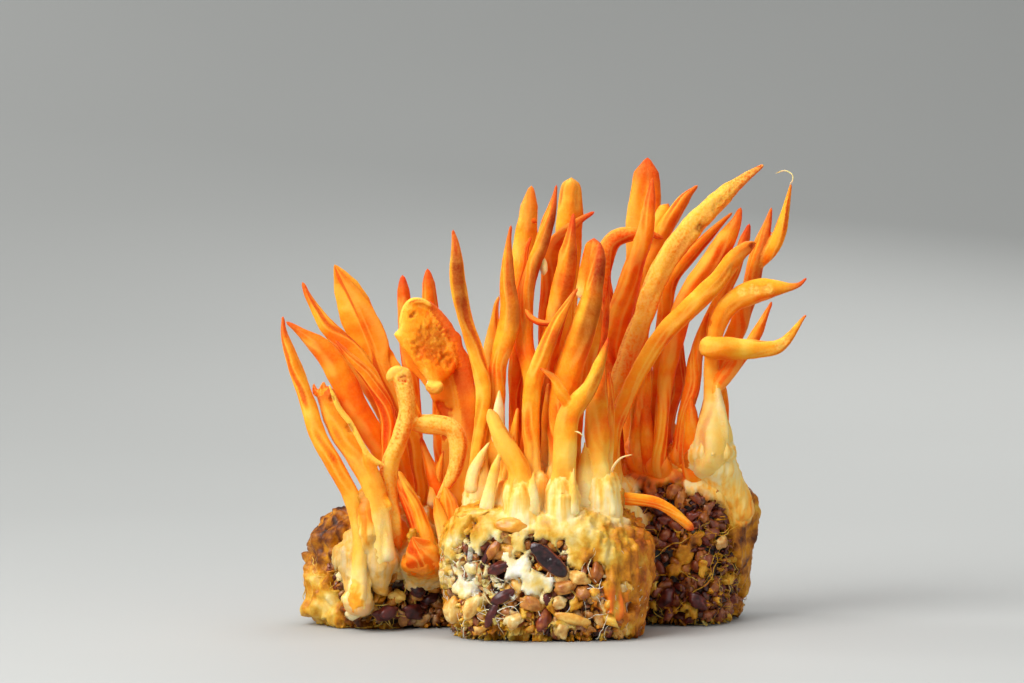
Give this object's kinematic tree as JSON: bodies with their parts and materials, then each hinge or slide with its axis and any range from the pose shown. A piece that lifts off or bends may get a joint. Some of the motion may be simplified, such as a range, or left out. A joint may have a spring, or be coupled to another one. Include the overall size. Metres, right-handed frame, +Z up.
{
  "type": "cordyceps bunch",
  "caption": "Bunch of cultivated cordyceps: orange club-shaped fungi rising from three broken, mat-covered pieces of grain cake.",
  "frame": {"origin": "middle of the bunch's box, at the level of the undersides it stands on", "axes": "+X along the row of three cakes, +Y to the back, +Z up along the clubs"},
  "size_m": [0.1054, 0.0568, 0.094],
  "materials": {
    "club_flesh": "matt, finely pimpled orange flesh",
    "mycelium": "matt felted fungus tissue, cream to yellow",
    "grain_cake": "cooked grain bound with fungus threads, uneven",
    "grain_husk": "smooth dark seed husk, slight shine"
  },
  "bodies": {
    "root": {"centre_arched_club": "club_flesh", "centre_back_tall_club": "club_flesh", "centre_blunt_front_club": "club_flesh", "centre_domed_club": "club_flesh", "centre_flat_topped_club": "club_flesh", "centre_folded_club": "club_flesh", "centre_fork_branch": "club_flesh", "centre_forked_club": "club_flesh", "centre_grain_cake": "grain_cake", "centre_highest_club": "club_flesh", "centre_inner_club": "club_flesh", "centre_left_pale_club": "club_flesh", "centre_left_tall_club": "club_flesh", "centre_lone_club": "club_flesh", "centre_mycelium_mat": "mycelium", "centre_pillar_club": "club_flesh", "centre_right_back_club": "club_flesh", "centre_short_club": "club_flesh", "centre_side_runner": "club_flesh", "centre_slim_club": "club_flesh", "centre_spike": "club_flesh", "centre_thick_club": "club_flesh", "dark_husk": "grain_husk", "left_arch_club": "club_flesh", "left_back_club": "club_flesh", "left_broad_leaf": "club_flesh", "left_ear_flap": "club_flesh", "left_grain_cake": "grain_cake", "left_hood": "club_flesh", "left_low_club": "club_flesh", "left_mycelium_mat": "mycelium", "left_outer_club": "club_flesh", "left_outer_hook_club": "club_flesh", "left_pink_tipped_club": "club_flesh", "left_second_club": "club_flesh", "left_thin_front_club": "club_flesh", "left_torn_stump": "club_flesh", "left_twisted_arm": "club_flesh", "left_twisted_club": "club_flesh", "right_back_broad_club": "club_flesh", "right_back_curved_club": "club_flesh", "right_cracked_club": "club_flesh", "right_crossing_branch": "club_flesh", "right_fallen_club": "club_flesh", "right_fork_branch": "club_flesh", "right_forked_club": "club_flesh", "right_front_long_club": "club_flesh", "right_grain_cake": "grain_cake", "right_highest_club": "club_flesh", "right_hooked_club": "club_flesh", "right_inner_left_club": "club_flesh", "right_inner_middle_club": "club_flesh", "right_inner_tall_club": "club_flesh", "right_left_long_club": "club_flesh", "right_mycelium_mat": "mycelium", "right_pink_back_club": "club_flesh", "right_short_club": "club_flesh", "right_slim_club": "club_flesh", "right_upper_club": "club_flesh"}
  },
  "joints": []
}
